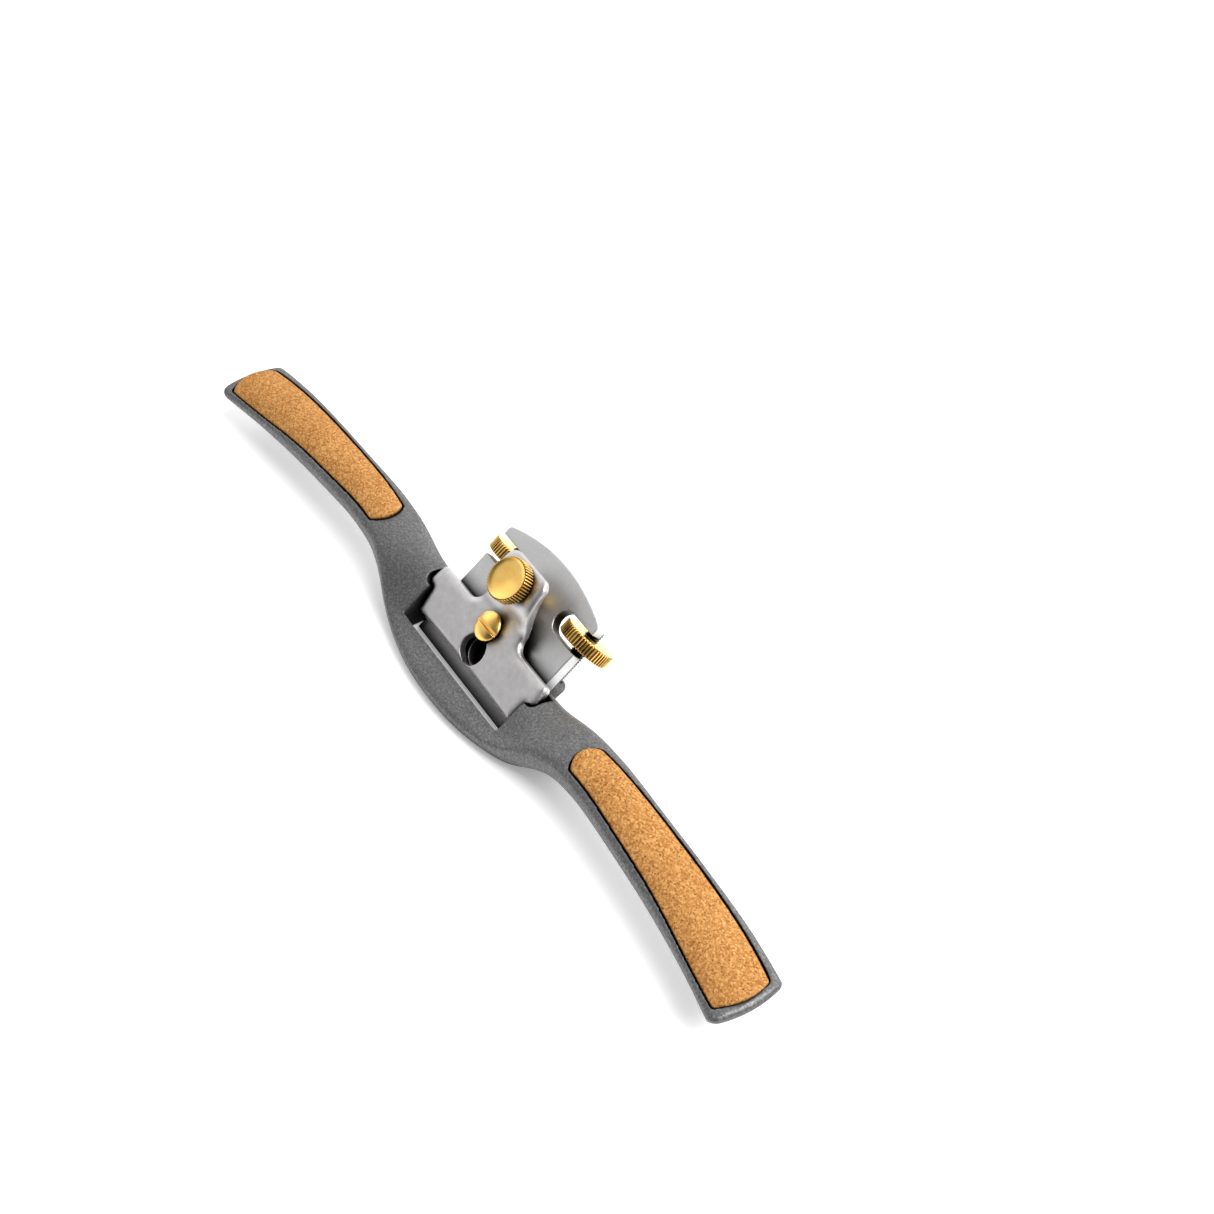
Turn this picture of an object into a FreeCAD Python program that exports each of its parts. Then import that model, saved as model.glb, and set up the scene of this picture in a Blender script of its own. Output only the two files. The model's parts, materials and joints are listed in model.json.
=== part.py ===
import FreeCAD, Part
import Sketcher
import math
import os

# Flat-soled spokeshave. Millimetres. +X along the handles, +Y to the rear, +Z up.
# Origin: middle of the heel face of the sole. The blade, the lever cap and their screws are laid
# out in the bed frame: X as above, Y up the slope of the bed, Z square to the face of the blade.

V = FreeCAD.Vector
X_AXIS = V(1, 0, 0)

DIMENSIONS = {
    "bed_angle": 37.0,
    "bed_origin_y": -6.61,
    "bed_origin_z": 2.50,
    "blade_width": 51.0,
    "blade_thickness": 4.0,
    "blade_edge_u": -0.4,
    "blade_apex_u": 46.7,
    "blade_dome_radius": 71.5,
    "blade_bevel_angle": 28.0,
    "blade_slot_width": 10.4,
    "blade_slot_low": 10.6,
    "blade_slot_high": 24.0,
    "notch_width": 7.9,
    "notch_centre_u": 35.0,
    "notch_inner_x": 15.0,
    "wheel_radius": 8.95,
    "wheel_thickness": 4.4,
    "wheel_centre_u": 35.0,
    "stud_x": 20.9,
    "stud_depth": 6.95,
    "stud_radius": 2.5,
    "stud_low_u": 10.0,
    "stud_high_u": 40.8,
    "wheel_bore": 2.56,
    "block_half_width": 24.4,
    "block_end_u": 21.8,
    "block_depth": 12.4,
    "channel_half_width": 25.9,
    "recess_half_width": 28.3,
    "ear_pocket_half_width": 32.2,
    "ear_pocket_low_u": 12.0,
    "toe_edge_y": -10.0,
    "mouth_edge_y": -8.0,
    "toe_height": 7.0,
    "end_x": 149.2,
    "end_arc_radius": 34.0,
    "end_corner_radius": 3.2,
    "cap_front_u": 3.9,
    "cap_front_half": 26.9,
    "cap_shoulder_half": 28.0,
    "cap_shoulder_u": 12.4,
    "cap_ear_half": 31.4,
    "cap_ear_back_u": 19.7,
    "cap_neck_half": 11.6,
    "cap_top_half": 10.0,
    "cap_top_u": 41.0,
    "keyhole_u": 9.8,
    "keyhole_radius": 5.1,
    "keyslot_half": 2.9,
    "screw_u": 18.2,
    "screw_head_radius": 4.75,
    "screw_head_under": 5.15,
    "screw_seat_radius": 3.7,
    "screw_head_rim": 1.8,
    "screw_head_rise": 1.5,
    "screw_radius": 2.45,
    "screw_length": 15.5,
    "screw_bore": 2.5,
    "knob_u": 33.65,
    "knob_radius": 7.05,
    "knob_under": 11.45,
    "knob_height": 4.2,
    "knob_dish": 1.1,
    "clamp_radius": 2.45,
    "clamp_bore": 2.52,
    "cork_seam": 0.45,
    "cork_floor_inner": 15.0,
    "cork_floor_outer": 12.9,
    "cork_corner": 1.7,
}

# Casting stations: half length, front and rear edge, height of the front and rear edge,
# height of the top at the front and at the rear, height of the underside.
STATIONS = (
    (0.0, -18.6, 10.0, 3.0, 6.5, 6.6, 15.4, -1.0),
    (10.0, -18.2, 10.0, 3.0, 6.5, 6.6, 15.4, -1.0),
    (20.0, -16.9, 10.0, 3.4, 6.8, 6.7, 15.4, -1.0),
    (28.0, -15.2, 9.8, 4.6, 7.8, 7.1, 15.5, -0.9),
    (34.0, -13.6, 9.5, 6.2, 9.2, 9.0, 15.9, -0.9),
    (40.0, -11.5, 9.5, 8.6, 11.2, 12.7, 16.9, 1.4),
    (47.0, -9.0, 10.3, 11.4, 13.6, 16.6, 18.3, 6.2),
    (56.0, -7.1, 10.9, 13.8, 15.2, 19.0, 19.3, 10.2),
    (68.0, -6.8, 11.2, 14.7, 15.7, 19.5, 19.5, 11.9),
    (85.0, -7.7, 10.9, 14.4, 15.3, 19.0, 19.0, 11.7),
    (105.0, -9.2, 10.6, 13.8, 14.7, 18.2, 18.2, 11.2),
    (125.0, -11.6, 9.9, 13.2, 14.1, 17.1, 17.1, 10.8),
    (142.0, -14.7, 8.1, 12.9, 13.6, 16.1, 16.1, 11.0),
    (155.0, -17.6, 6.0, 12.7, 13.3, 15.3, 15.3, 11.2),
)
RAMP_START_Y = -12.5
RAMP_END_Y = 2.0
SECTION_POINTS = 32
SECTION_SPACING = 5.0

# Cork outline on the +X side: front edge and rear edge from the inner to the outer corner,
# with the apex of the rounded ends.
CORK_FRONT = ((59.9, -4.5), (68.0, -4.4), (85.0, -5.5), (105.0, -7.2), (125.0, -10.2), (144.3, -13.2))
CORK_REAR = ((59.1, 7.5), (75.0, 8.7), (98.0, 8.8), (118.0, 8.1), (133.0, 6.7), (145.7, 4.5))
CORK_INNER_APEX = (56.6, 2.2)
CORK_OUTER_APEX = (147.3, -4.6)

doc = FreeCAD.newDocument("spokeshave")
sheet = doc.addObject("Spreadsheet::Sheet", "sheet")
for row, (alias, value) in enumerate(DIMENSIONS.items(), start=1):
    sheet.set("A%d" % row, alias)
    sheet.set("B%d" % row, repr(value))
    sheet.setAlias("B%d" % row, alias)
doc.recompute()


def dim(alias):
    return float(sheet.get(alias))


def named(alias):
    """Expression text with every dimension name pointed at the sheet."""
    text = alias
    for key in sorted(DIMENSIONS, key=len, reverse=True):
        text = text.replace(key, "\0%d\0" % list(DIMENSIONS).index(key))
    for index, key in enumerate(DIMENSIONS):
        text = text.replace("\0%d\0" % index, "sheet." + key)
    return text


def primitive(kind, name, sizes, at=("0", "0", "0"), turn=None):
    """A Part primitive whose sizes and position follow the sheet."""
    item = doc.addObject("Part::" + kind, name)
    if turn:
        item.Placement = FreeCAD.Placement(V(), turn)
    for prop, expression in sizes.items():
        item.setExpression(prop, named(expression))
    for axis, expression in zip("xyz", at):
        item.setExpression("Placement.Base." + axis, named(expression))
    return item


def cut(name, base, tools):
    """base with every tool taken out of it."""
    result = base
    for index, tool in enumerate(tools):
        step = doc.addObject("Part::Cut", name if index == len(tools) - 1 else "%s_step%d" % (name, index))
        step.Base = result
        step.Tool = tool
        result = step
    return result


def fuse(name, items):
    result = doc.addObject("Part::MultiFuse", name)
    result.Shapes = items
    return result


def common(name, items):
    result = doc.addObject("Part::MultiCommon", name)
    result.Shapes = items
    return result


def on_bed(item):
    """Puts an item modelled in the bed frame where the bed lies."""
    item.Placement = FreeCAD.Placement(V(), FreeCAD.Rotation(X_AXIS, dim("bed_angle")))
    item.setExpression("Placement.Base.y", "sheet.bed_origin_y")
    item.setExpression("Placement.Base.z", "sheet.bed_origin_z")
    return item


def polygon_prism(name, points, direction, length_expression, symmetric=False):
    """Extrusion of a fully constrained sketch through points given as expression pairs."""
    sketch = doc.addObject("Sketcher::SketchObject", name + "_outline")
    if direction == "X":
        sketch.Placement = FreeCAD.Placement(V(), FreeCAD.Rotation(V(0, 1, 0), V(0, 0, 1), V(1, 0, 0), "ZXY"))
    values = [tuple(float(sheet_value(text)) for text in pair) for pair in points]
    count = len(points)
    for index in range(count):
        start = V(*values[index], 0)
        end = V(*values[(index + 1) % count], 0)
        sketch.addGeometry(Part.LineSegment(start, end), False)
    for index in range(count):
        following = (index + 1) % count
        sketch.addConstraint(Sketcher.Constraint("Coincident", index, 2, following, 1))
    for index in range(count):
        for kind, text, value in (("DistanceX", points[index][0], values[index][0]),
                                  ("DistanceY", points[index][1], values[index][1])):
            number = sketch.addConstraint(Sketcher.Constraint(kind, -1, 1, index, 1, value))
            sketch.setExpression("Constraints[%d]" % number, named(text))
    prism = doc.addObject("Part::Extrusion", name)
    prism.Base = sketch
    prism.DirMode = "Normal"
    prism.Solid = True
    prism.Symmetric = symmetric
    prism.setExpression("LengthFwd", named(length_expression))
    return prism


def sheet_value(text):
    """Value of an expression pair, worked out by the sheet itself."""
    sheet.set("D1", "=" + text)
    sheet.recompute()
    return sheet.get("D1")


def round_upright_edges(name, item, radii, direction=V(0, 0, 1)):
    """Fillets the edges along direction that pass near each given point."""
    doc.recompute()
    chosen = []
    for number, edge in enumerate(item.Shape.Edges, start=1):
        if len(edge.Vertexes) != 2:
            continue
        along = (edge.Vertexes[1].Point - edge.Vertexes[0].Point)
        if along.Length < 1e-6 or abs(along.normalize().dot(direction)) < 0.999:
            continue
        middle = edge.CenterOfMass
        for (x, y), radius in radii:
            if math.hypot(abs(middle.x) - x, middle.y - y) < 0.6:
                chosen.append((number, radius, radius))
    result = doc.addObject("Part::Fillet", name)
    result.Base = item
    result.Edges = chosen
    return result


# ---------------------------------------------------------------- body casting

def smooth(t):
    t = min(1.0, max(0.0, t))
    return t * t * (3 - 2 * t)


def slopes(xs, values):
    """Slope at each station that keeps the run between stations free of overshoot."""
    steps = [(values[i + 1] - values[i]) / (xs[i + 1] - xs[i]) for i in range(len(xs) - 1)]
    result = [0.0]
    for before, after in zip(steps, steps[1:]):
        result.append(2 * before * after / (before + after) if before * after > 0 else 0.0)
    return result + [steps[-1]]


def station_at(x):
    """Casting measurements at half length x, run smoothly between the stations."""
    xs = [station[0] for station in STATIONS]
    index = max(i for i in range(len(xs) - 1) if xs[i] <= x)
    width = xs[index + 1] - xs[index]
    t = (x - xs[index]) / width
    row = []
    for column in range(1, len(STATIONS[0])):
        values = [station[column] for station in STATIONS]
        slope = slopes(xs, values)
        row.append((2 * t ** 3 - 3 * t ** 2 + 1) * values[index]
                   + (t ** 3 - 2 * t ** 2 + t) * width * slope[index]
                   + (3 * t ** 2 - 2 * t ** 3) * values[index + 1]
                   + (t ** 3 - t ** 2) * width * slope[index + 1])
    return row


def casting_section(x, power, lift, inset, crown):
    """Points round the casting at x: a rounded bar between its top and its underside."""
    front, rear, front_z, rear_z, top_front, top_rear, bottom = station_at(abs(x))
    front += inset
    rear -= inset
    points = []
    for index in range(SECTION_POINTS):
        angle = 2 * math.pi * index / SECTION_POINTS - math.pi / 2
        c = math.cos(angle)
        s = math.sin(angle)
        y = (front + rear) / 2 + (rear - front) / 2 * math.copysign(abs(c) ** (2 / power), c)
        v = math.copysign(abs(s) ** (2 / power), s)
        side_z = front_z + (rear_z - front_z) * (y - front) / (rear - front)
        ramp = smooth((y - RAMP_START_Y) / (RAMP_END_Y - RAMP_START_Y))
        off_middle = 2 * (y - front) / (rear - front) - 1
        top = top_front + (top_rear - top_front) * ramp + lift + crown * (1 - off_middle ** 2)
        points.append(V(x, y, side_z + v * (top - side_z if v > 0 else side_z - bottom)))
    return points


def section_skin(x_from, x_to, power, lift=0.0, inset=0.0, crown=0.0):
    """Solid bar skinned over sections spaced evenly from x_from to x_to."""
    count = round((x_to - x_from) / SECTION_SPACING)
    sections = [casting_section(x_from + (x_to - x_from) * i / count, power, lift, inset, crown)
                for i in range(count + 1)]
    surface = Part.BSplineSurface()
    inner_knots = len(sections) - 4
    surface.buildFromPolesMultsKnots(
        sections,
        [4] + [1] * inner_knots + [4], [1] * (SECTION_POINTS + 1),
        list(range(inner_knots + 2)), list(range(SECTION_POINTS + 1)),
        False, True, 3, 3)
    skin = surface.toShape()
    ends = [Part.Face(Part.Wire([e])) for e in skin.Edges
            if e.BoundBox.XLength < 1e-3 and e.Closed]
    closed = Part.Compound([skin] + ends)
    closed.sewShape()
    return Part.Solid(Part.Shell(closed.Faces))


def cork_prism(inset, height_from, height_to):
    """Upright prism of the cork's plan outline, brought in by inset, with rounded corners."""
    def brought_in(point, push_y):
        x = point[0]
        if point in (CORK_FRONT[0], CORK_REAR[0], CORK_INNER_APEX):
            x += inset
        if point in (CORK_FRONT[-1], CORK_REAR[-1], CORK_OUTER_APEX):
            x -= inset
        return V(x, point[1] + push_y, height_from)

    front = Part.BSplineCurve()
    front.interpolate([brought_in(point, inset) for point in CORK_FRONT])
    rear = Part.BSplineCurve()
    rear.interpolate([brought_in(point, -inset) for point in CORK_REAR])
    inner = Part.Arc(front.StartPoint, brought_in(CORK_INNER_APEX, 0), rear.StartPoint)
    outer = Part.Arc(front.EndPoint, brought_in(CORK_OUTER_APEX, 0), rear.EndPoint)
    edges = Part.__sortEdges__([front.toShape(), rear.toShape(), inner.toShape(), outer.toShape()])
    prism = Part.Face(Part.Wire(edges)).extrude(V(0, 0, height_to - height_from))
    corners = [e for e in prism.Edges if abs(e.BoundBox.XLength) + abs(e.BoundBox.YLength) < 1e-6]
    return prism.makeFillet(dim("cork_corner") - inset, corners)


def above_cork_floor():
    """Everything above the sloping floor of the cork pocket."""
    inner = V(50, -40, dim("cork_floor_inner") + 0.1)
    outer = V(155, -40, dim("cork_floor_outer") - 0.1)
    face = Part.Face(Part.makePolygon([inner, outer, outer + V(0, 0, 20), inner + V(0, 0, 20), inner]))
    return face.extrude(V(0, 80, 0))


def mirrored(shape):
    return shape.mirror(V(0, 0, 0), X_AXIS)


def feature(name, shape):
    item = doc.addObject("Part::Feature", name)
    item.Shape = shape
    return item


blank = feature("casting_blank", section_skin(-155.0, 155.0, 3.1))


def end_waste():
    """What lies outside the right handle's end: an arc in plan with rounded corners."""
    radius = dim("end_arc_radius")
    stretch = (136.0, 142.0, 154.9)
    front = [V(x, station_at(x)[0] - 0.15, -5) for x in stretch]
    rear = [V(x, station_at(x)[1] + 0.15, -5) for x in reversed(stretch)]
    plan = Part.Face(Part.makePolygon(front + rear + front[:1])).extrude(V(0, 0, 45))
    plan = plan.common(Part.makeCylinder(radius, 45, V(dim("end_x") - radius, -4, -5))).Solids[0]
    corners = [e for e in plan.Edges
               if e.BoundBox.XLength + e.BoundBox.YLength < 1e-6 and e.CenterOfMass.x > 144]
    plan = plan.makeFillet(dim("end_corner_radius"), corners)
    return Part.makeBox(30, 80, 45, V(138, -40, -5)).cut(plan)


waste_right = feature("end_waste_right", end_waste())
waste_left = feature("end_waste_left", mirrored(waste_right.Shape))
above_sole = primitive("Box", "above_sole", {"Length": "400", "Width": "100", "Height": "40"},
                       ("-200", "-50", "0"))
rounded_ends = cut("casting_ends", blank, [waste_right, waste_left])
trimmed = common("casting_trimmed", [rounded_ends, above_sole])

# Bed block under the blade, with the rear face that takes the adjuster studs.
block = polygon_prism("bed_block", [
    ("mouth_edge_y + 4.7", "0"),
    ("10", "0"),
    ("10", "1.5"),
    ("bed_origin_y + block_end_u * cos(bed_angle * 1deg) + block_depth * sin(bed_angle * 1deg)",
     "bed_origin_z + block_end_u * sin(bed_angle * 1deg) - block_depth * cos(bed_angle * 1deg)"),
    ("bed_origin_y + block_end_u * cos(bed_angle * 1deg) + 0.5 * sin(bed_angle * 1deg)",
     "bed_origin_z + block_end_u * sin(bed_angle * 1deg) - 0.5 * cos(bed_angle * 1deg)"),
    ("-6", "5"),
], "X", "2 * block_half_width", symmetric=True)
doc.recompute()
block_end = [n for n, e in enumerate(block.Shape.Edges, start=1)
             if e.CenterOfMass.y > 14 or (e.CenterOfMass.y > 9.9 and e.BoundBox.XLength < 0.01)]
rounded_block = doc.addObject("Part::Fillet", "bed_block_rounded")
rounded_block.Base = block
rounded_block.Edges = [(n, 2.4, 2.4) for n in block_end]
solid_body = fuse("casting_solid", [trimmed, rounded_block])

# Openings in the bed frame: blade channel, cap recess, ear pockets, screw and stud holes.
channel = primitive("Box", "blade_channel",
                    {"Length": "2 * channel_half_width", "Width": "80", "Height": "30"},
                    ("-channel_half_width", "-12", "-blade_thickness"))
recess = primitive("Box", "cap_recess",
                   {"Length": "2 * recess_half_width", "Width": "80", "Height": "30"},
                   ("-recess_half_width", "-12", "-0.3"))
ears = primitive("Box", "ear_pockets",
                 {"Length": "2 * ear_pocket_half_width", "Width": "60", "Height": "30"},
                 ("-ear_pocket_half_width", "ear_pocket_low_u", "0.9"))
ears = round_upright_edges("ear_pockets_rounded", ears,
                           [((dim("ear_pocket_half_width"), dim("ear_pocket_low_u")), 3.0)])
screw_hole = primitive("Cylinder", "screw_hole", {"Radius": "screw_bore", "Height": "40"},
                       ("0", "screw_u", "-30"))
along_bed = FreeCAD.Rotation(X_AXIS, -90)
stud_holes = []
for side, sign in (("left", "-"), ("right", "")):
    stud_holes.append(primitive("Cylinder", "stud_hole_" + side, {"Radius": "stud_radius", "Height": "40"},
                                (sign + "stud_x", "stud_low_u", "-stud_depth"), along_bed))
bed_openings = on_bed(fuse("bed_openings", [channel, recess, ears, screw_hole] + stud_holes))
behind_toe = primitive("Box", "behind_toe", {"Length": "400", "Width": "100", "Height": "80"},
                       ("-200", "toe_edge_y", "-30"))
bed_cutters = common("bed_cutters", [bed_openings, behind_toe])

# Throat: upright walls between the toe and the mouth, its front wall leaning back.
throat = polygon_prism("throat", [
    ("mouth_edge_y", "-2"),
    ("toe_edge_y", "toe_height"),
    ("toe_edge_y", "30"),
    ("mouth_edge_y + 9", "30"),
    ("mouth_edge_y + 4.7", "-2"),
], "X", "2 * recess_half_width", symmetric=True)

pockets = cork_prism(0.0, 5.0, 30.0).common(above_cork_floor())
cork_pockets = feature("cork_pockets", Part.makeCompound([pockets, mirrored(pockets)]))

body = cut("body_casting", solid_body, [bed_cutters, throat, cork_pockets])

# ---------------------------------------------------------------- cork inlays

crown = section_skin(40.0, 155.0, 3.1, lift=-1.5, inset=0.2, crown=2.8)
cork_shape = cork_prism(dim("cork_seam"), 5.0, 30.0).common(above_cork_floor()).common(crown)
cork_right = feature("cork_inlay_right", cork_shape.Solids[0])
cork_left = feature("cork_inlay_left", mirrored(cork_shape.Solids[0]))

# ---------------------------------------------------------------- blade

plate = primitive("Box", "blade_plate", {"Length": "blade_width", "Width": "blade_apex_u - blade_edge_u",
                                         "Height": "blade_thickness"},
                  ("-blade_width / 2", "blade_edge_u", "-blade_thickness"))
dome = primitive("Cylinder", "blade_dome", {"Radius": "blade_dome_radius", "Height": "20"},
                 ("0", "blade_apex_u - blade_dome_radius", "-10"))
corner_u = dim("blade_apex_u") - dim("blade_dome_radius") + math.sqrt(
    dim("blade_dome_radius") ** 2 - (dim("blade_width") / 2) ** 2)
domed = round_upright_edges("blade_corners_rounded", common("blade_domed", [plate, dome]),
                            [((dim("blade_width") / 2, corner_u), 1.6)])
bevel = primitive("Box", "blade_bevel", {"Length": "blade_width + 10", "Width": "30", "Height": "20"},
                  ("-blade_width / 2 - 5", "blade_edge_u", "0"),
                  FreeCAD.Rotation(X_AXIS, -(180 - dim("blade_bevel_angle"))))
bevel.setExpression("Placement.Base.y", "sheet.blade_edge_u")
notch_parts = []
for side, sign in (("left", -1), ("right", 1)):
    notch_parts.append(primitive("Cylinder", "notch_round_" + side,
                                 {"Radius": "notch_width / 2", "Height": "20"},
                                 ("%d * notch_inner_x" % sign, "notch_centre_u", "-10")))
    notch_parts.append(primitive("Box", "notch_slot_" + side,
                                 {"Length": "30", "Width": "notch_width", "Height": "20"},
                                 ("%d * (notch_inner_x + 15) - 15" % sign,
                                  "notch_centre_u - notch_width / 2", "-10")))
slot_parts = [primitive("Box", "blade_slot", {"Length": "blade_slot_width",
                                              "Width": "blade_slot_high - blade_slot_low",
                                              "Height": "20"},
                        ("-blade_slot_width / 2", "blade_slot_low", "-10"))]
for end in ("low", "high"):
    slot_parts.append(primitive("Cylinder", "blade_slot_" + end + "_end",
                                {"Radius": "blade_slot_width / 2", "Height": "20"},
                                ("0", "blade_slot_" + end, "-10")))
blade_openings = fuse("blade_openings", notch_parts + slot_parts)
blade = on_bed(cut("blade", domed, [bevel, blade_openings]))

# ---------------------------------------------------------------- lever cap

cap_half_outline = [
    ("cap_front_half", "cap_front_u"),
    ("cap_shoulder_half", "cap_shoulder_u"),
    ("cap_ear_half", "cap_shoulder_u"),
    ("cap_ear_half - 1.2", "cap_ear_back_u"),
    ("cap_neck_half + 0.3", "cap_ear_back_u"),
    ("cap_top_half", "cap_top_u"),
]
cap_outline = cap_half_outline + [("-(%s)" % x, u) for x, u in reversed(cap_half_outline)]
cap_outline.append(("0", "cap_front_u + 0.7"))
cap_plan = polygon_prism("cap_plan", cap_outline, "Z", "25")
cap_rounded = round_upright_edges("cap_plan_rounded", cap_plan, [
    ((dim("cap_shoulder_half"), dim("cap_shoulder_u")), 0.9),
    ((dim("cap_ear_half"), dim("cap_shoulder_u")), 1.8),
    ((dim("cap_ear_half") - 1.2, dim("cap_ear_back_u")), 1.4),
    ((dim("cap_neck_half") + 0.3, dim("cap_ear_back_u")), 4.0),
    ((dim("cap_top_half"), dim("cap_top_u")), 3.4),
    ((dim("cap_front_half"), dim("cap_front_u")), 0.5),
])


def cap_curve(points):
    curve = Part.BSplineCurve()
    curve.interpolate([V(0, u, n) for u, n in points])
    return curve.toShape()


# Long profile of the cap: a flat front that bears on the blade, a swept neck, a level top.
cap_top_line = ((2.5, 3.4), (8.0, 4.5), (14.0, 4.95), (20.0, 5.0), (23.3, 5.1),
                (25.6, 6.3), (29.0, 9.3), (33.0, 10.9),
                (37.5, 11.3), (43.0, 11.35))
cap_under_line = ((7.5, 1.5), (14.0, 1.9), (20.0, 2.0), (25.0, 2.9), (30.0, 5.8), (34.5, 7.8), (38.5, 8.5),
                  (43.0, 8.8))
top_edge = cap_curve(cap_top_line)
under_edge = cap_curve(cap_under_line)
front_foot = Part.makePolygon([V(0, 2.5, 3.4), V(0, 2.5, 0.05), V(0, 5.6, 0.05), V(0, 7.5, 1.5)])
rear_end = Part.makePolygon([V(0, 43.0, 11.35), V(0, 43.0, 8.8)])
profile = Part.Wire(Part.__sortEdges__(list(top_edge.Edges) + list(under_edge.Edges)
                                       + list(front_foot.Edges) + list(rear_end.Edges)))
cap_profile = Part.Face(profile).extrude(V(80, 0, 0))
cap_profile.translate(V(-40, 0, 0))
cap_bar = feature("cap_bar", cap_profile)
cap_shell = common("cap_shell", [cap_rounded, cap_bar])
keyhole = primitive("Cylinder", "keyhole_round", {"Radius": "keyhole_radius", "Height": "30"},
                    ("0", "keyhole_u", "-5"))
keyslot = primitive("Box", "keyhole_slot", {"Length": "2 * keyslot_half", "Width": "screw_u - keyhole_u",
                                            "Height": "30"},
                    ("-keyslot_half", "keyhole_u", "-5"))
keyslot_end = primitive("Cylinder", "keyhole_slot_end", {"Radius": "keyslot_half", "Height": "30"},
                        ("0", "screw_u", "-5"))
clamp_hole = primitive("Cylinder", "clamp_hole", {"Radius": "clamp_bore", "Height": "30"},
                       ("0", "knob_u", "-5"))
cap = on_bed(cut("lever_cap", cap_shell, [fuse("cap_holes", [keyhole, keyslot, keyslot_end, clamp_hole])]))

# ---------------------------------------------------------------- screws


def turned(outline, at_u):
    """A turned piece: closed half profile of radius and height, spun about its own axis."""
    wire = Part.makePolygon([V(r, at_u, z) for r, z in outline + outline[:1]])
    return Part.Face(wire).revolve(V(0, at_u, 0), V(0, 0, 1), 360)


def dome_points(radius, base, rise, count=8):
    """Points up a shallow dome from its rim to its crown."""
    sphere = (radius ** 2 + rise ** 2) / (2 * rise)
    spread = math.asin(radius / sphere)
    points = []
    for index in range(count + 1):
        angle = spread * (1 - index / count)
        points.append((sphere * math.sin(angle), base + rise - sphere * (1 - math.cos(angle))))
    return points


under = dim("screw_head_under")
rim = under + dim("screw_head_rim")
screw_profile = [(0, under - dim("screw_length")), (dim("screw_radius"), under - dim("screw_length")),
                 (dim("screw_radius"), under), (dim("screw_seat_radius"), under),
                 (dim("screw_head_radius"), rim - 0.5)]
screw_profile += dome_points(dim("screw_head_radius"), rim, dim("screw_head_rise"))
screw_blank = feature("screw_blank", turned(screw_profile, dim("screw_u")))
driver_slot = primitive("Box", "driver_slot", {"Length": "20", "Width": "1.2", "Height": "5"},
                        ("-10", "screw_u - 0.6", "screw_head_under + 1.4"))
cap_screw = on_bed(cut("cap_screw", screw_blank, [driver_slot]))

base = dim("knob_under")
crest = base + dim("knob_height")
knob_profile = [(0, 0.05), (dim("clamp_radius") - 0.5, 0.05), (dim("clamp_radius"), 0.55),
                (dim("clamp_radius"), base), (dim("knob_radius") - 0.5, base),
                (dim("knob_radius"), base + 0.5), (dim("knob_radius"), crest - 0.55),
                (dim("knob_radius") - 0.55, crest), (dim("knob_radius") - 1.0, crest),
                (dim("knob_radius") - 1.3, crest - 0.25), (0, crest - dim("knob_dish"))]
clamp_screw = on_bed(feature("clamp_screw", turned(knob_profile, dim("knob_u"))))

# ---------------------------------------------------------------- adjusters

sub_parts = [body, cork_left, cork_right, blade, cap, cap_screw, clamp_screw]
for side, sign in (("left", "-"), ("right", "")):
    shank = primitive("Cylinder", "stud_shank_" + side,
                      {"Radius": "stud_radius", "Height": "stud_high_u - stud_low_u"},
                      (sign + "stud_x", "stud_low_u", "-stud_depth"), along_bed)
    doc.recompute()
    stud = doc.addObject("Part::Chamfer", "adjuster_stud_" + side)
    stud.Base = shank
    rings = [n for n, e in enumerate(shank.Shape.Edges, start=1) if isinstance(e.Curve, Part.Circle)]
    stud.Edges = [(n, 0.5, 0.5) for n in rings]
    sub_parts.append(on_bed(stud))

    disc = primitive("Cylinder", "wheel_disc_" + side,
                     {"Radius": "wheel_radius", "Height": "wheel_thickness"},
                     (sign + "stud_x", "wheel_centre_u - wheel_thickness / 2", "-stud_depth"), along_bed)
    doc.recompute()
    rounded = doc.addObject("Part::Chamfer", "wheel_rounded_" + side)
    rounded.Base = disc
    rings = [n for n, e in enumerate(disc.Shape.Edges, start=1) if isinstance(e.Curve, Part.Circle)]
    rounded.Edges = [(n, 0.4, 0.4) for n in rings]
    bore = primitive("Cylinder", "wheel_bore_" + side, {"Radius": "wheel_bore", "Height": "30"},
                     (sign + "stud_x", "wheel_centre_u - 15", "-stud_depth"), along_bed)
    sub_parts.append(on_bed(cut("adjuster_wheel_" + side, rounded, [bore])))

doc.recompute()

for item in doc.Objects:
    if "Invalid" in item.State or "Error" in item.State:
        raise RuntimeError("%s did not compute: %s" % (item.Name, item.State))

os.makedirs("parts", exist_ok=True)
for item in sub_parts:
    item.Label = item.Name
    shape = item.Shape
    if shape.isNull() or not shape.isValid() or len(shape.Solids) != 1:
        raise RuntimeError("%s is not one valid solid: %d" % (item.Label, len(shape.Solids)))
    shape.exportStep(os.path.join("parts", item.Label + ".step"))
    print("%-22s %10.1f mm3  %s" % (item.Label, shape.Volume, shape.BoundBox))
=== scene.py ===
import json
import math

import bmesh
import bpy
import numpy as np
from mathutils import Matrix, Vector
from mathutils.kdtree import KDTree


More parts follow.
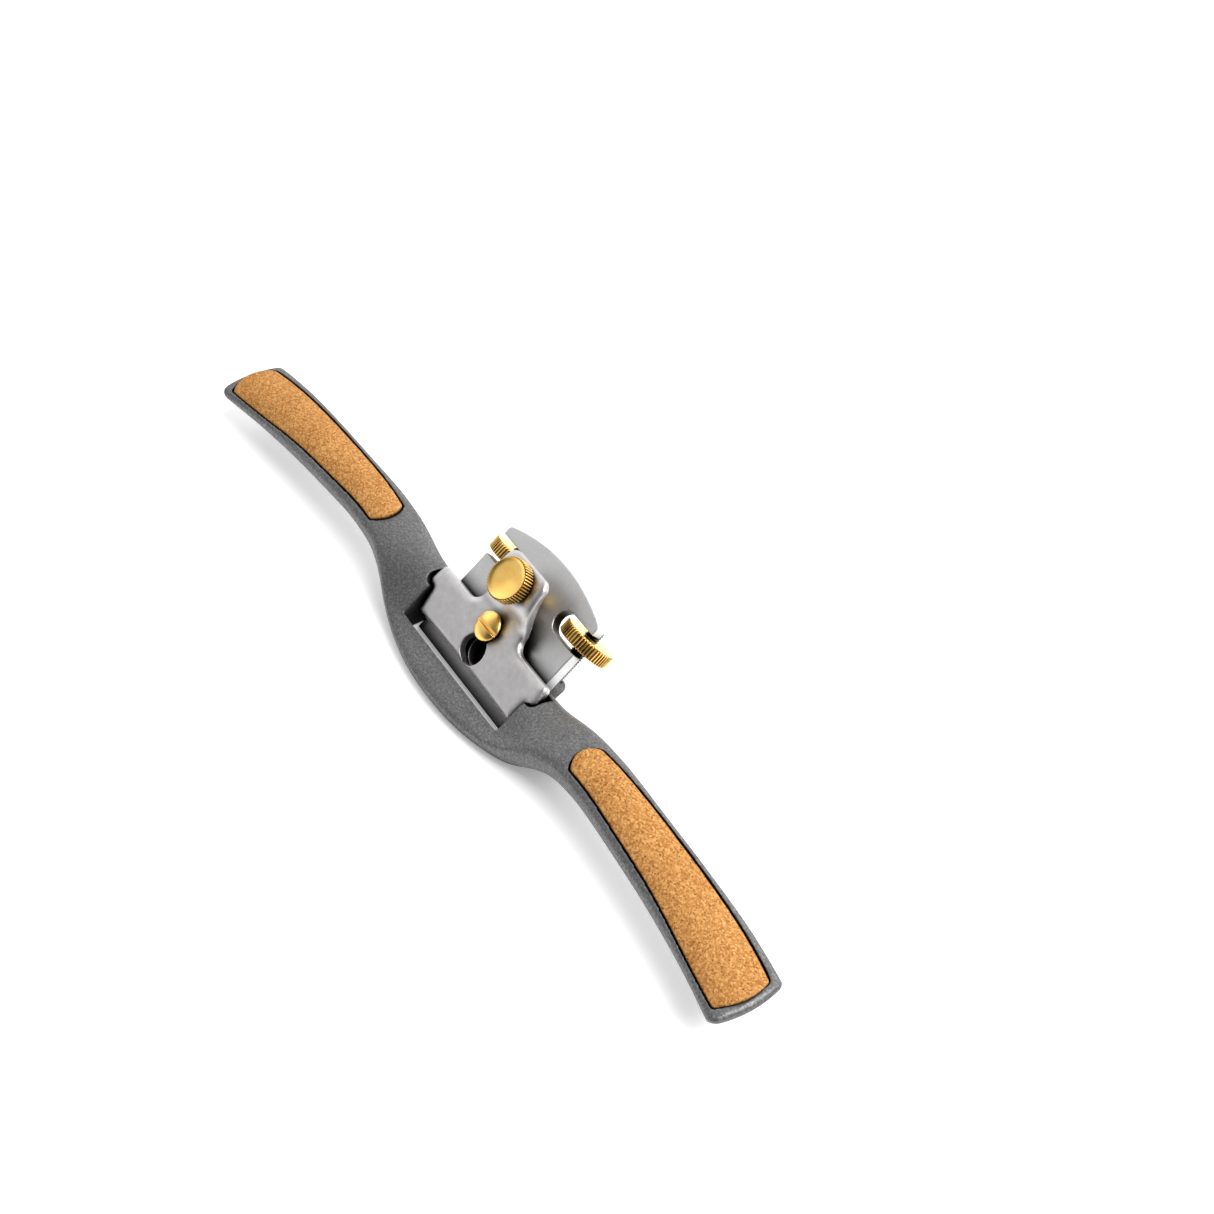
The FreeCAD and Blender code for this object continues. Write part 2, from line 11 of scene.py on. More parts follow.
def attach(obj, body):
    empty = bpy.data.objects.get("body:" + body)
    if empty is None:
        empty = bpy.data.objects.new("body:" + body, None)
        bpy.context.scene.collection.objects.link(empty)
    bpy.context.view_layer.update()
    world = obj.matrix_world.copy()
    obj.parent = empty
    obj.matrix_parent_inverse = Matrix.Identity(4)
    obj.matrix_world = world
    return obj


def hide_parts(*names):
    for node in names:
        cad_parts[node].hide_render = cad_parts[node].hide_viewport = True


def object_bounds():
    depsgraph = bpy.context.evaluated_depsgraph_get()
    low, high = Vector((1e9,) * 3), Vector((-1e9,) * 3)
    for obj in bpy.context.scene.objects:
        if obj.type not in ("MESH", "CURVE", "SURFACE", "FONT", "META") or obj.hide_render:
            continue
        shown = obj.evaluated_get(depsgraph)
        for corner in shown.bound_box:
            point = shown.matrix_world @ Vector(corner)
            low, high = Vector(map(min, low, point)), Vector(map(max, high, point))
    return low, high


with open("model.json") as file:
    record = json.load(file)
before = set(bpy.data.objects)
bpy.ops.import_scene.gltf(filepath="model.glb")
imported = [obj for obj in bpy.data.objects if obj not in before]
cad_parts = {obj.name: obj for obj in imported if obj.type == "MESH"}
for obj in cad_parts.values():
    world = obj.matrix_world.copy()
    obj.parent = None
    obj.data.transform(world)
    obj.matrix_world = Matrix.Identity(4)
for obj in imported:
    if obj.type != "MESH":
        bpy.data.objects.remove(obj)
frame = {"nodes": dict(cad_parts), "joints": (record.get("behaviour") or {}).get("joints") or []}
cad_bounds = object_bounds()

MM = 0.001
scene = bpy.context.scene
joints = {joint["name"]: joint for joint in frame["joints"]}

# The bed frame: X along the tool, Y up the slope of the bed, Z square to the blade's face,
# with its origin on the axis of the cap screw, in the plane of the blade's face.
up_slope = Vector(joints["cap_slide"]["axis"]).normalized()
off_bed = Vector(joints["cap_screw_turn"]["axis"]).normalized()
across = Vector((1.0, 0.0, 0.0))


def placed(x_axis, y_axis, z_axis, origin):
    """Matrix that puts a local frame at origin with the given axes."""
    matrix = Matrix((x_axis, y_axis, z_axis)).transposed().to_4x4()
    matrix.translation = Vector(origin)
    return matrix


bed_frame = placed(across, up_slope, off_bed, joints["cap_screw_turn"]["pos_m"])

# ---------------------------------------------------------------- materials


def new_material(name):
    made = bpy.data.materials.new(name)
    made.use_nodes = True
    return made, made.node_tree, made.node_tree.nodes["Principled BSDF"]


def add_node(tree, kind, inputs=(), **settings):
    """A shader node with its settings, and its inputs given as values or as sockets to link."""
    made = tree.nodes.new("ShaderNode" + kind)
    for key, value in settings.items():
        setattr(made, key, value)
    for key, value in dict(inputs).items():
        if isinstance(value, bpy.types.NodeSocket):
            tree.links.new(value, made.inputs[key])
        else:
            made.inputs[key].default_value = value
    return made


def coordinates(tree, scale=(1, 1, 1)):
    place = add_node(tree, "TexCoord")
    return add_node(tree, "Mapping", {"Vector": place.outputs["Object"], "Scale": scale}).outputs[0]


def ramp(tree, fac, stops):
    """Colour ramp through (position, colour) stops."""
    made = add_node(tree, "ValToRGB", {"Fac": fac})
    elements = made.color_ramp.elements
    for index, (position, colour) in enumerate(stops):
        element = elements[index] if index < 2 else elements.new(position)
        element.position = position
        element.color = (*colour, 1)
    return made.outputs["Color"]


def grey(value):
    return (value, value, value)


def noise(tree, vector, scale, detail=2.0, roughness=0.5):
    return add_node(tree, "TexNoise", {"Vector": vector, "Scale": scale, "Detail": detail,
                                       "Roughness": roughness}).outputs["Fac"]


def mix_colour(tree, fac, a, b, blend="MIX"):
    made = tree.nodes.new("ShaderNodeMix")
    made.data_type = "RGBA"
    made.blend_type = blend
    for key, value in ((0, fac), (6, a), (7, b)):
        if isinstance(value, bpy.types.NodeSocket):
            tree.links.new(value, made.inputs[key])
        elif key == 0:
            made.inputs[key].default_value = value
        else:
            made.inputs[key].default_value = (*value, 1)
    return made.outputs[2]


def math_node(tree, operation, a, b):
    return add_node(tree, "Math", {0: a, 1: b}, operation=operation).outputs[0]


def painted_hollow_shade(tree, colour, distance, depth):
    """Painted shade: colour made darker where the surface is closed in, by what stands within the
    distance. A higher depth darkens it sooner."""
    open_sky = add_node(tree, "AmbientOcclusion", {"Distance": distance}, samples=12).outputs["AO"]
    darkened = math_node(tree, "POWER", open_sky, depth)
    shade = ramp(tree, darkened, [(0.09, grey(0.0)), (0.85, grey(1.0))])
    return mix_colour(tree, 1.0, colour, shade, "MULTIPLY")


def bump(tree, height, strength, distance, normal=None):
    inputs = {"Height": height, "Strength": strength, "Distance": distance}
    if normal is not None:
        inputs["Normal"] = normal
    return add_node(tree, "Bump", inputs).outputs["Normal"]


def casting_material():
    """Bead-blasted cast iron: even fine grain and soft mottling."""
    made, tree, shader = new_material("casting_blasted")
    at = coordinates(tree)
    grain = noise(tree, at, 1500, 3.0, 0.6)
    speckle = noise(tree, at, 3800, 1.0)
    cloud = noise(tree, at, 55, 3.0)
    colour = ramp(tree, grain, [(0.30, grey(0.085)), (0.52, grey(0.135)), (0.72, grey(0.215))])
    clouded = ramp(tree, cloud, [(0.3, grey(0.86)), (0.7, grey(1.0))])
    colour = mix_colour(tree, 1.0, colour, clouded, "MULTIPLY")
    # Painted shade, darker in the casting's hollows and crevices.
    colour = painted_hollow_shade(tree, colour, 7 * MM, 2.8)
    tree.links.new(colour, shader.inputs["Base Color"])
    shader.inputs["Metallic"].default_value = 0.70
    shader.inputs["Specular IOR Level"].default_value = 0.3
    rough = ramp(tree, grain, [(0.3, grey(0.52)), (0.7, grey(0.42))])
    tree.links.new(rough, shader.inputs["Roughness"])
    normal = bump(tree, speckle, 0.2, 0.08 * MM)
    normal = bump(tree, grain, 0.5, 0.14 * MM, normal)
    tree.links.new(normal, shader.inputs["Normal"])
    return made


def cork_material():
    """Agglomerated cork: small packed granules of close tans, with fine dark specks and pale fibres."""
    made, tree, shader = new_material("cork_granules")
    at = coordinates(tree)
    wobble = add_node(tree, "TexNoise", {"Vector": at, "Scale": 2000.0, "Detail": 2.0})
    shifted = add_node(tree, "VectorMath", {0: wobble.outputs["Color"], 1: grey(0.4 * MM)},
                       operation="MULTIPLY").outputs[0]
    at = add_node(tree, "VectorMath", {0: at, 1: shifted}, operation="ADD").outputs[0]
    cells = add_node(tree, "TexVoronoi", {"Vector": at, "Scale": 1900.0})
    tone = add_node(tree, "SeparateColor", {"Color": cells.outputs["Color"]}).outputs[0]
    fine = noise(tree, at, 2600, 3.0, 0.65)
    tone = math_node(tree, "ADD", math_node(tree, "MULTIPLY", tone, 0.34),
                     math_node(tree, "MULTIPLY", fine, 0.66))
    colour = ramp(tree, tone, [(0.26, (0.20, 0.070, 0.014)), (0.40, (0.34, 0.145, 0.034)),
                               (0.54, (0.415, 0.198, 0.054)), (0.74, (0.60, 0.330, 0.115))])
    cloud = noise(tree, at, 90, 3.0)
    colour = mix_colour(tree, 1.0, colour, ramp(tree, cloud, [(0.3, (0.90, 0.86, 0.80)), (0.7, grey(1.0))]),
                        "MULTIPLY")
    pits = add_node(tree, "TexVoronoi", {"Vector": at, "Scale": 1150.0})
    pit_tone = add_node(tree, "SeparateColor", {"Color": pits.outputs["Color"]}).outputs[1]
    few = math_node(tree, "GREATER_THAN", pit_tone, 0.82)
    deep = ramp(tree, pits.outputs["Distance"], [(0.16, grey(1.0)), (0.34, grey(0.0))])
    pit = math_node(tree, "MULTIPLY", few, deep)
    colour = mix_colour(tree, math_node(tree, "MULTIPLY", pit, 0.95), colour, (0.12, 0.040, 0.010))
    # Painted shade, darker in the cork's pits and hollows.
    colour = painted_hollow_shade(tree, colour, 1.2 * MM, 2.5)
    tree.links.new(colour, shader.inputs["Base Color"])
    shader.inputs["Roughness"].default_value = 0.78
    shader.inputs["Specular IOR Level"].default_value = 0.2
    height = math_node(tree, "SUBTRACT", math_node(tree, "MULTIPLY", fine, 0.6), pit)
    normal = bump(tree, height, 0.6, 0.16 * MM)
    tree.links.new(normal, shader.inputs["Normal"])
    return made


def steel_material(name, low, high, roughness, stretch, line_scale, tint=(1.0, 1.0, 1.0),
                   hollows=(6 * MM, 2.6)):
    """Satin steel, low to high in tone, with brushed lines along the axis that stretch makes longer,
    and faint cloudy handling marks. hollows is the reach and depth of the painted shade in its hollows."""
    made, tree, shader = new_material(name)
    lines = noise(tree, coordinates(tree, stretch), line_scale, 4.0, 0.6)
    cloud = noise(tree, coordinates(tree), 70, 3.0)
    colour = ramp(tree, lines, [(0.25, tuple(low * c for c in tint)), (0.75, tuple(high * c for c in tint))])
    colour = mix_colour(tree, 1.0, colour, ramp(tree, cloud, [(0.35, grey(0.92)), (0.65, grey(1.0))]),
                        "MULTIPLY")
    # Painted shade, darker in the steel's hollows and in the gaps between parts.
    colour = painted_hollow_shade(tree, colour, *hollows)
    tree.links.new(colour, shader.inputs["Base Color"])
    shader.inputs["Metallic"].default_value = 1.0
    rough = ramp(tree, cloud, [(0.3, grey(roughness - 0.05)), (0.7, grey(roughness + 0.05))])
    tree.links.new(rough, shader.inputs["Roughness"])
    tree.links.new(bump(tree, lines, 0.12, 0.04 * MM), shader.inputs["Normal"])
    return made


# Painted shade in the knurl grooves starts this far inside the foot of the grooves, and is darkest this far
# out from there.
GROOVE_SHADE_MARGIN = 0.12 * MM
GROOVE_SHADE_FADE = 0.10 * MM


def brass_material(name, roughness, place, grooves=None):
    """Turned brass: fine rings about the axis of the piece that stands in the frame place, painted
    shade in its hollows, and painted shade in the knurling, whose grooves have these inner and outer radii."""
    made, tree, shader = new_material(name)
    local = place.inverted()
    at = add_node(tree, "TexCoord").outputs["Object"]
    at = add_node(tree, "Mapping", {"Vector": at, "Location": local.to_translation(),
                                    "Rotation": local.to_euler()}).outputs[0]
    rings = add_node(tree, "TexWave", {"Vector": at, "Scale": 900.0, "Distortion": 1.2, "Detail": 2.0},
                     wave_type="RINGS", rings_direction="Z").outputs["Fac"]
    cloud = noise(tree, at, 260, 3.0)
    colour = ramp(tree, cloud, [(0.3, (0.88, 0.52, 0.13)), (0.7, (0.95, 0.65, 0.20))])
    # Painted shade, darker in the brass piece's hollows.
    colour = painted_hollow_shade(tree, colour, 0.7 * MM, 1.6)
    # Painted shade in the knurl grooves, darkest near their foot and fading out towards the lands.
    if grooves:
        flat = add_node(tree, "VectorMath", {0: at, 1: (1, 1, 0)}, operation="MULTIPLY").outputs[0]
        radius = add_node(tree, "VectorMath", {0: flat}, operation="LENGTH").outputs["Value"]
        inner, outer = grooves
        start = inner - GROOVE_SHADE_MARGIN
        depth = add_node(tree, "MapRange", {"Value": radius, "From Min": start,
                                            "From Max": outer}).outputs["Result"]
        darkest = GROOVE_SHADE_FADE / (outer - start)
        groove_shade = ramp(tree, depth, [(0.0, grey(1.0)), (darkest, (0.30, 0.22, 0.14)),
                                     (0.55, (0.45, 0.36, 0.26)), (0.92, grey(1.0))])
        colour = mix_colour(tree, 1.0, colour, groove_shade, "MULTIPLY")
    tree.links.new(colour, shader.inputs["Base Color"])
    shader.inputs["Metallic"].default_value = 1.0
    rough = ramp(tree, cloud, [(0.3, grey(roughness)), (0.7, grey(roughness + 0.08))])
    tree.links.new(rough, shader.inputs["Roughness"])
    tree.links.new(bump(tree, rings, 0.14, 0.03 * MM), shader.inputs["Normal"])
    return made


CASTING = casting_material()
CORK = cork_material()
CAP_STEEL = steel_material("cap_satin_steel", 0.47, 0.59, 0.42, (1, 1, 1), 500,
                           tint=(1.0, 0.975, 0.975), hollows=(3 * MM, 2.2))
BLADE_STEEL = steel_material("blade_ground_steel", 0.51, 0.63, 0.42, (1, 0.25, 1), 2600)
STUD_STEEL = steel_material("stud_steel", 0.28, 0.40, 0.40, (1, 1, 1), 1800)
BRASS_ROUGHNESS = 0.26

# ---------------------------------------------------------------- pieces from the CAD shapes

WELD_DISTANCE = 0.001 * MM
EASING = 0.5  # share of the way to the neighbours' mean that a full pass moves a vertex


def even_skin(thing, voxel):
    """Modifiers that give a CAD shape a fine even skin."""
    thing.modifiers.new("joined", "WELD").merge_threshold = WELD_DISTANCE
    remesh = thing.modifiers.new("skin", "REMESH")
    remesh.mode = "VOXEL"
    remesh.voxel_size = voxel
    remesh.use_smooth_shade = True


def vertex_array(mesh):
    points = np.empty(len(mesh.vertices) * 3)
    mesh.vertices.foreach_get("co", points)
    return points.reshape(-1, 3)


def relaxed(mesh, weights, passes):
    """Moves each vertex towards its neighbours' mean, by its own weight, a number of times."""
    count = len(mesh.vertices)
    points = vertex_array(mesh)
    ends = np.empty(len(mesh.edges) * 2, np.int64)
    mesh.edges.foreach_get("vertices", ends)
    a, b = ends[0::2], ends[1::2]
    neighbours = np.bincount(a, minlength=count) + np.bincount(b, minlength=count)
    for index in range(passes):
        total = np.stack([np.bincount(a, points[b, k], count) + np.bincount(b, points[a, k], count)
                          for k in range(3)], axis=1)
        points += weights(points, index)[:, None] * (total / neighbours[:, None] - points)
    mesh.vertices.foreach_set("co", points.ravel())
    mesh.update()


def even_weights(points, index):
    return np.full(len(points), EASING)


def refined(node, name, body, place, voxel, passes, weights, material, shaped=None):
    """Puts a finely skinned copy of a CAD node in its stead. The copy is shaped and relaxed in the
    local frame place."""
    thing = bpy.data.objects.new(name, frame["nodes"][node].data.copy())
    scene.collection.objects.link(thing)
    even_skin(thing, voxel)
    bpy.context.view_layer.update()
    mesh = bpy.data.meshes.new_from_object(thing.evaluated_get(bpy.context.evaluated_depsgraph_get()))
    thing.modifiers.clear()
    thing.data = mesh
    mesh.name = name
    mesh.transform(place.inverted())
    if shaped:
        shaped(mesh)
    relaxed(mesh, weights, passes)
    mesh.transform(place)
    mesh.shade_smooth()
    mesh.materials.clear()
    mesh.materials.append(material)
    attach(thing, body)
    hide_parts(node)


def give(node, material):
    data = frame["nodes"][node].data
    data.materials.clear()
    data.materials.append(material)


# Handle ends: arcs in plan, with how far the end wall draws in at each height, in mm, fading out
# over END_FADE inwards from the arc.
END_RADIUS = 34 * MM
END_CENTRE_Y = -4 * MM
END_FADE = 5 * MM
END_INSET = ((10.0, 2.4), (11.4, 2.1), (12.6, 0.9), (13.4, 0.1),
             (14.2, 0.05), (15.0, 0.5), (15.5, 1.0), (16.2, 1.7))


def rolled_ends(mesh):
    """Rolls over the top edge of each handle's end and bevels its lower edge."""
    points = vertex_array(mesh)
    centre_x = points[:, 0].max() - END_RADIUS
    away = np.stack([np.abs(points[:, 0]) - centre_x, points[:, 1] - END_CENTRE_Y], axis=1)
    reach = np.linalg.norm(away, axis=1)
    heights, insets = np.array(END_INSET).T * MM
    pull = np.interp(points[:, 2], heights, insets)
    pull *= np.clip(1 - (END_RADIUS - reach) / END_FADE, 0, 1)
    pull[away[:, 0] < 0] = 0
    step = away / np.maximum(reach, 1e-6)[:, None] * pull[:, None]
    points[:, 0] -= np.sign(points[:, 0]) * step[:, 0]
    points[:, 1] -= step[:, 1]
    mesh.vertices.foreach_set("co", points.ravel())


refined("body_casting", "casting_body", "frame", Matrix(), 0.28 * MM, 5, even_weights, CASTING,
        rolled_ends)

for side in ("left", "right"):
    cork = frame["nodes"]["cork_inlay_" + side]
    even_skin(cork, 0.35 * MM)
    eased = cork.modifiers.new("eased", "SMOOTH")
    eased.factor = EASING
    eased.iterations = 4
    give("cork_inlay_" + side, CORK)

# Lever cap: strongly eased outside edges, crisp keyhole and clamp hole. The holes are in the bed
# frame: the keyhole's large end, the slot that runs from it to the cap screw, and the clamp hole.
KEYHOLE_Y = -8.4 * MM
KEYHOLE_RADIUS = 5.1 * MM
KEYSLOT_HALF = 2.9 * MM
CLAMP_HOLE_Y = 15.45 * MM
CLAMP_HOLE_RADIUS = 2.52 * MM
FIRST_PASSES = 4
CRISP_EDGE = 0.6 * MM
CRISP_FADE = 0.8 * MM


def from_holes(points):
    """Distance of each point, in plan, from the nearest wall of the cap's holes."""
    x, y = points[:, 0], points[:, 1]
    keyhole = np.hypot(x, y - KEYHOLE_Y) - KEYHOLE_RADIUS
    keyslot = np.hypot(x, y - np.clip(y, KEYHOLE_Y, 0)) - KEYSLOT_HALF
    clamp_hole = np.hypot(x, y - CLAMP_HOLE_Y) - CLAMP_HOLE_RADIUS
    return np.minimum(np.minimum(keyhole, keyslot), clamp_hole)


def cap_weights(points, index):
    """Full easing outside, and only the first passes near the keyhole and the clamp hole."""
    weight = even_weights(points, index)
    if index >= FIRST_PASSES:
        weight *= np.clip((from_holes(points) - CRISP_EDGE) / CRISP_FADE, 0, 1)
    return weight


# The crown falls off as a quarter ellipse over CROWN_WIDTH from the outline, and fades out
# CROWN_DEPTH below the top face. The limits are on the upward part of a vertex's normal.
CROWN_WIDTH = 3.0 * MM
CROWN_DROP = 1.1 * MM
CROWN_DEPTH = 2.2 * MM
HOLE_MARGIN = 0.5 * MM
WALL_LIFT = 0.35
TOP_LIFT = 0.7
UNDER_LIFT = -0.6


def plan_tree(points):
    """Search tree of the points as seen in plan."""
    tree = KDTree(len(points))
    for index, (x, y) in enumerate(points[:, :2]):
        tree.insert((x, y, 0), index)
    tree.balance()
    return tree


def crowned(mesh):
    """Rolls the cap's top face down towards its outline, away from the keyhole and the clamp hole."""
    points = vertex_array(mesh)
    normals = np.empty(len(points) * 3)
    mesh.vertices.foreach_get("normal", normals)
    lift = normals.reshape(-1, 3)[:, 2]
    rim = np.flatnonzero((np.abs(lift) < WALL_LIFT) & (from_holes(points) > HOLE_MARGIN))[::3]
    top = np.flatnonzero(lift > TOP_LIFT)
    outline = plan_tree(points[rim])
    surface = plan_tree(points[top])
    heights = points[top, 2]
    for index in np.flatnonzero(lift > UNDER_LIFT):
        x, y, z = points[index]
        inside = outline.find((x, y, 0))[2]
        if inside >= CROWN_WIDTH:
            continue
        below = max(0.0, heights[surface.find((x, y, 0))[1]] - z)
        share = max(0.0, 1 - below / CROWN_DEPTH)
        edge = 1 - inside / CROWN_WIDTH
        points[index, 2] -= CROWN_DROP * share * (1 - math.sqrt(max(0.0, 1 - edge * edge)))
    mesh.vertices.foreach_set("co", points.ravel())


refined("lever_cap", "cap_plate", "cap", bed_frame, 0.2 * MM, 12, cap_weights, CAP_STEEL,
        crowned)

refined("cap_screw", "cap_screw_turned", "cap_screw_body", bed_frame, 0.14 * MM, 3, even_weights,
        brass_material("brass_screw", BRASS_ROUGHNESS, bed_frame))

CUTTING_EDGE = 2.0 * MM


def blade_weights(points, index):
    """Eases the blade's edges, but leaves the cutting edge as it is."""
    return np.where(points[:, 1] < points[:, 1].min() + CUTTING_EDGE, 0.0, EASING)


refined("blade", "blade_ground", "iron", bed_frame, 0.2 * MM, 4, blade_weights, BLADE_STEEL)

# ---------------------------------------------------------------- turned pieces

TAU = 2 * math.pi
SHARP_ANGLE = math.radians(32)
THREAD_PITCH = 0.8
RINGS_PER_PITCH = 6


def knurl(angles, teeth, depth):
    """Depth of straight grooves with narrow lands between them."""
    phase = np.abs((angles * teeth / TAU) % 1.0 - 0.5) * 2
    return depth * np.clip((phase - 0.3) / 0.45, 0, 1)


def thread(angles, z, depth):
    """Depth of a V thread that climbs one pitch a turn."""
    phase = np.abs((z / THREAD_PITCH - angles / TAU) % 1.0 - 0.5) * 2
    return depth * np.clip(phase * 1.15 - 0.05, 0, 1)


def segment_angles(segments):
    return np.arange(segments) * TAU / segments


def turned_piece(name, node, rings, segments, body, place, material, closed=False):
    """Puts a turned mesh in a CAD node's stead. It runs through rings, each its radius or its radii
    per angle, and its height. A closed one is a ring with a bore; otherwise both ends are capped."""
    bm = bmesh.new()
    angles = segment_angles(segments)
    rows = []
    for radii, z in rings:
        radii = np.broadcast_to(radii, segments)
        rows.append([bm.verts.new((r * math.cos(a), r * math.sin(a), z)) for r, a in zip(radii, angles)])
    pairs = list(zip(rows, rows[1:]))
    if closed:
        pairs.append((rows[-1], rows[0]))
    for low, high in pairs:
        for i in range(segments):
            j = (i + 1) % segments
            bm.faces.new((low[i], low[j], high[j], high[i]))
    if not closed:
        for row, z, flip in ((rows[0], rings[0][1], True), (rows[-1], rings[-1][1], False)):
            middle = bm.verts.new((0, 0, z))
            for i in range(segments):
                j = (i + 1) % segments
                bm.faces.new((row[j], row[i], middle) if flip else (row[i], row[j], middle))
    bmesh.ops.recalc_face_normals(bm, faces=bm.faces)
    for edge in bm.edges:
        if len(edge.link_faces) == 2 and edge.calc_face_angle(0.0) > SHARP_ANGLE:
            edge.smooth = False
    for face in bm.faces:
        face.smooth = True
    mesh = bpy.data.meshes.new(name)
    bm.to_mesh(mesh)
    bm.free()
    mesh.transform(place)
    mesh.materials.append(material)
    thing = bpy.data.objects.new(name, mesh)
    scene.collection.objects.link(thing)
    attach(thing, body)
    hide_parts(node)


def in_mm(profile):
    """Rings from a profile of radii and heights in mm."""
    return [(radii * MM, z * MM) for radii, z in profile]


def thread_rings(segments, radius, low, high, depth):
    """Rings of a thread from low to high, all in mm."""
    angles = segment_angles(segments)
    count = int(round((high - low) / THREAD_PITCH * RINGS_PER_PITCH))
    heights = [low + (high - low) * index / count for index in range(count + 1)]
    return in_mm([(radius - thread(angles, z, depth), z) for z in heights])


# Profiles below are radii and heights in mm.

# Adjuster wheels: knurled brass nuts, the same on both faces.
WHEEL_TEETH = 52
WHEEL_SEGMENTS = WHEEL_TEETH * 8
WHEEL_RADIUS = 8.95
WHEEL_GROOVE = 0.34
groove = knurl(segment_angles(WHEEL_SEGMENTS), WHEEL_TEETH, WHEEL_GROOVE)
wheel_half = [(2.56, -1.9), (2.9, -2.2), (4.6, -2.2), (4.8, -2.12), (7.9, -2.12), (8.45, -2.16),
              (8.72 - groove * 0.5, -1.98), (WHEEL_RADIUS - groove, -1.7)]
wheel_profile = wheel_half + [(radii, -z) for radii, z in reversed(wheel_half)]
wheel_grooves = ((WHEEL_RADIUS - WHEEL_GROOVE) * MM, WHEEL_RADIUS * MM)
wheel_places = {side: placed(across, off_bed * -1, up_slope, joints["wheel_%s_turn" % side]["pos_m"])
                for side in ("left", "right")}
for side, place in wheel_places.items():
    turned_piece("adjuster_wheel_%s_knurled" % side, "adjuster_wheel_" + side, in_mm(wheel_profile),
                 WHEEL_SEGMENTS, "wheel_" + side, place,
                 brass_material("brass_wheel_" + side, BRASS_ROUGHNESS, place, wheel_grooves), closed=True)

# Adjuster studs: threaded rods from the rear lug through the wheels.
STUD_SEGMENTS = 60
stud_rings = in_mm([(1.9, -24.95), (2.05, -24.8)])
stud_rings += thread_rings(STUD_SEGMENTS, radius=2.48, low=-24.4, high=5.4, depth=0.42)
stud_rings += in_mm([(2.0, 5.65), (1.85, 5.75)])
for side, place in wheel_places.items():
    turned_piece("adjuster_stud_%s_threaded" % side, "adjuster_stud_" + side, stud_rings,
                 STUD_SEGMENTS, "frame", place, STUD_STEEL)

# Clamp knob: dished, knurled head on its threaded shank.
KNOB_TEETH = 46
KNOB_SEGMENTS = KNOB_TEETH * 8
KNOB_RADIUS = 7.05
KNOB_GROOVE = 0.45
groove = knurl(segment_angles(KNOB_SEGMENTS), KNOB_TEETH, KNOB_GROOVE)
knob_place = placed(across, up_slope, off_bed, joints["clamp_turn"]["pos_m"])
knob_rings = in_mm([(1.7, -9.94), (1.95, -9.8)])
knob_rings += thread_rings(KNOB_SEGMENTS, radius=2.43, low=-9.4, high=1.0, depth=0.40)
knob_rings += in_mm([(2.4, 1.2), (2.4, 1.42), (6.2, 1.42), (6.55, 1.5),
                     (6.95 - groove * 0.8, 1.6), (KNOB_RADIUS - groove, 1.75),
                     (KNOB_RADIUS - groove, 5.35), (6.95 - groove * 0.8, 5.5),
                     (6.5, 5.58), (6.3, 5.55), (6.1, 5.38), (5.0, 5.12), (3.6, 4.88), (2.2, 4.7),
                     (1.0, 4.58), (0.4, 4.54)])
knob_grooves = ((KNOB_RADIUS - KNOB_GROOVE) * MM, KNOB_RADIUS * MM)
turned_piece("clamp_knob_turned", "clamp_screw", knob_rings, KNOB_SEGMENTS, "clamp_knob", knob_place,
             brass_material("brass_knob", BRASS_ROUGHNESS, knob_place, knob_grooves))

# ---------------------------------------------------------------- floor, light, camera

floor_material, tree, shader = new_material("studio_floor")
tone = noise(tree, coordinates(tree), 3, 2.0)
tree.links.new(ramp(tree, tone, [(0.3, grey(0.90)), (0.7, grey(0.92))]), shader.inputs["Base Color"])
shader.inputs["Roughness"].default_value = 0.9
shader.inputs["Specular IOR Level"].default_value = 0.1
shader.inputs["Emission Color"].default_value = (1, 1, 1, 1)
shader.inputs["Emission Strength"].default_value = 0.30
HALF_FLOOR = 3.0
FLOOR_GAP = 0.2 * MM
floor_mesh = bpy.data.meshes.new("floor")
floor_mesh.from_pydata([(-HALF_FLOOR, -HALF_FLOOR, 0), (HALF_FLOOR, -HALF_FLOOR, 0),
                        (HALF_FLOOR, HALF_FLOOR, 0), (-HALF_FLOOR, HALF_FLOOR, 0)], [], [(0, 1, 2, 3)])
floor_mesh.materials.append(floor_material)
floor = bpy.data.objects.new("floor", floor_mesh)
scene.collection.objects.link(floor)
floor.location.z = cad_bounds[0][2] - FLOOR_GAP


def view_direction(tree):
    return add_node(tree, "TexCoord").outputs["Generated"]


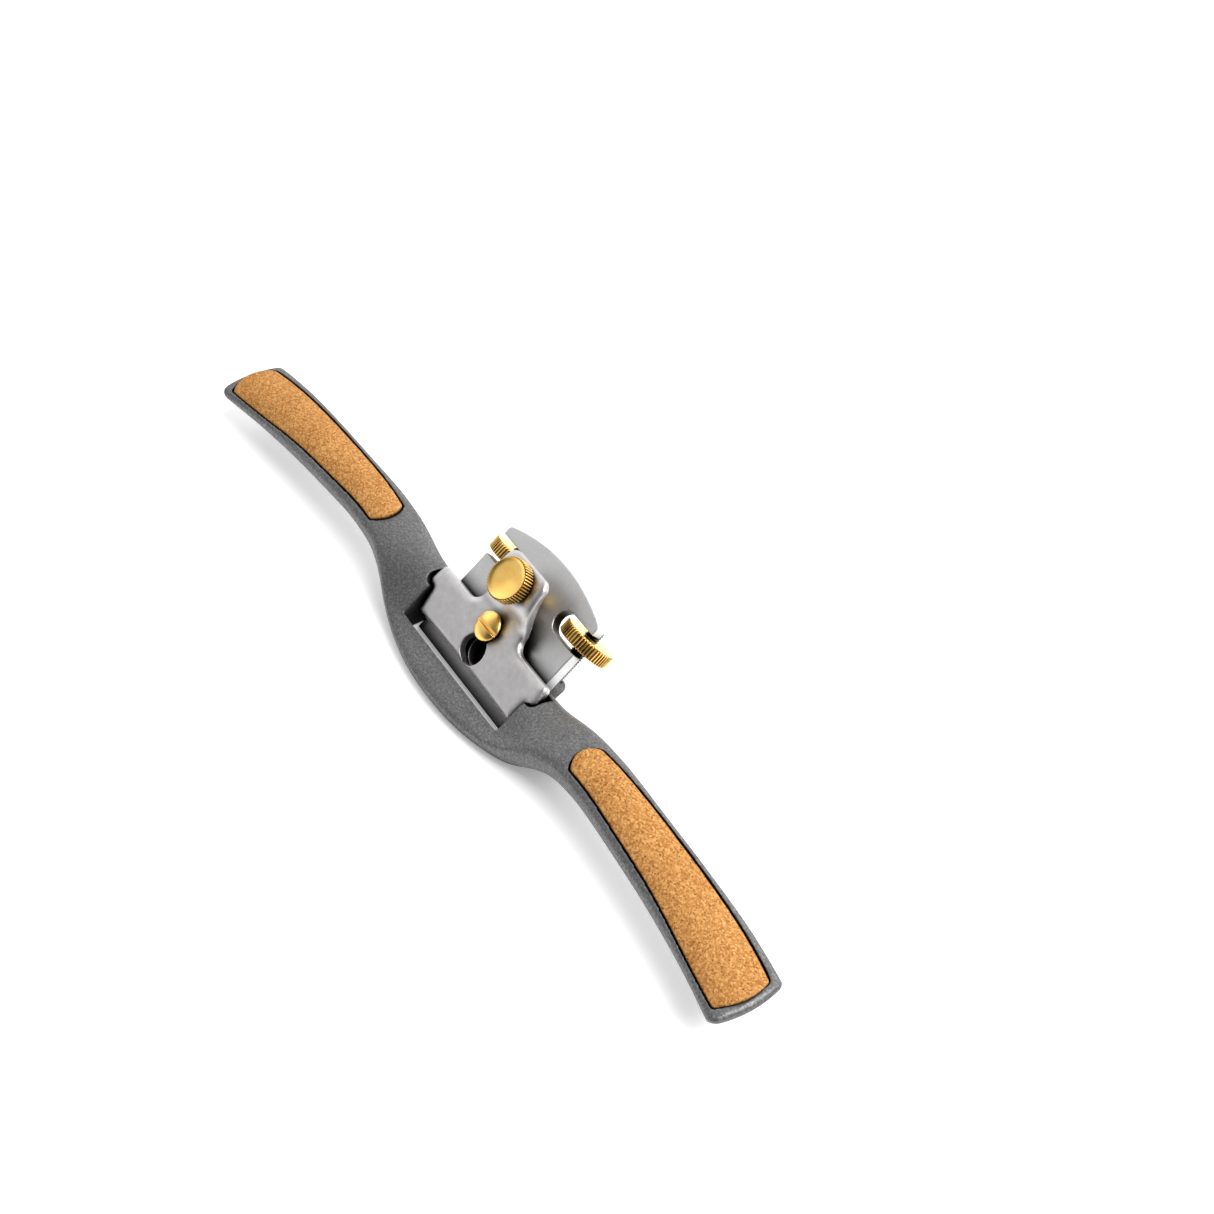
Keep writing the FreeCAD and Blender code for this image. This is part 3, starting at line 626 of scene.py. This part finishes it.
def with_panel(tree, sky, towards, low, high, brightness):
    """Sky with a soft bright patch about the direction towards, which grows from the cosine low to
    full brightness at the cosine high."""
    facing = add_node(tree, "VectorMath", {0: view_direction(tree), 1: Vector(towards).normalized()},
                      operation="DOT_PRODUCT").outputs["Value"]
    patch = ramp(tree, facing, [(low, grey(0.0)), (high, grey(brightness))])
    return mix_colour(tree, 1.0, sky, patch, "ADD")


# The sky is dark in front and below, and bright above and behind, as the metal mirrors it.
world = bpy.data.worlds.new("studio")
world.use_nodes = True
tree = world.node_tree
direction = add_node(tree, "SeparateXYZ", {"Vector": view_direction(tree)})
from_back = math_node(tree, "ADD", math_node(tree, "MULTIPLY", direction.outputs["Y"], 0.45),
                      math_node(tree, "MULTIPLY", direction.outputs["Z"], 0.40))
sky = ramp(tree, from_back, [(0.0, grey(0.04)), (0.30, grey(0.30)), (0.66, grey(1.0))])
sky = with_panel(tree, sky, (-0.66, -0.62, 0.50), 0.72, 0.94, 1.25)
sky = with_panel(tree, sky, (-0.80, 0.30, 0.42), 0.62, 0.92, 2.0)
tree.links.new(sky, tree.nodes["Background"].inputs["Color"])
tree.nodes["Background"].inputs["Strength"].default_value = 0.66
scene.world = world


def area_light(name, direction, distance, size, power):
    """Soft square light aimed at the tool from a direction."""
    data = bpy.data.lights.new(name, "AREA")
    data.size = size
    data.energy = power
    light = bpy.data.objects.new(name, data)
    scene.collection.objects.link(light)
    light.location = Vector(direction).normalized() * distance
    light.rotation_euler = Vector(direction).to_track_quat("Z", "Y").to_euler()


area_light("key", (0.62, 0.40, 1.0), 1.6, 1.15, 40)
area_light("rear", (-0.1, 1.0, 0.45), 1.6, 0.8, 8)

camera_data = bpy.data.cameras.new("camera")
camera_data.sensor_width = 36
camera_data.lens = 61.49
camera_data.clip_start = 0.01
camera = bpy.data.objects.new("camera", camera_data)
scene.collection.objects.link(camera)
camera.location = (0.38013, -0.19172, 0.46146)
camera.rotation_euler = (math.radians(90 - 45.57), 0, math.radians(58.02))
scene.camera = camera

scene.view_settings.view_transform = "Standard"
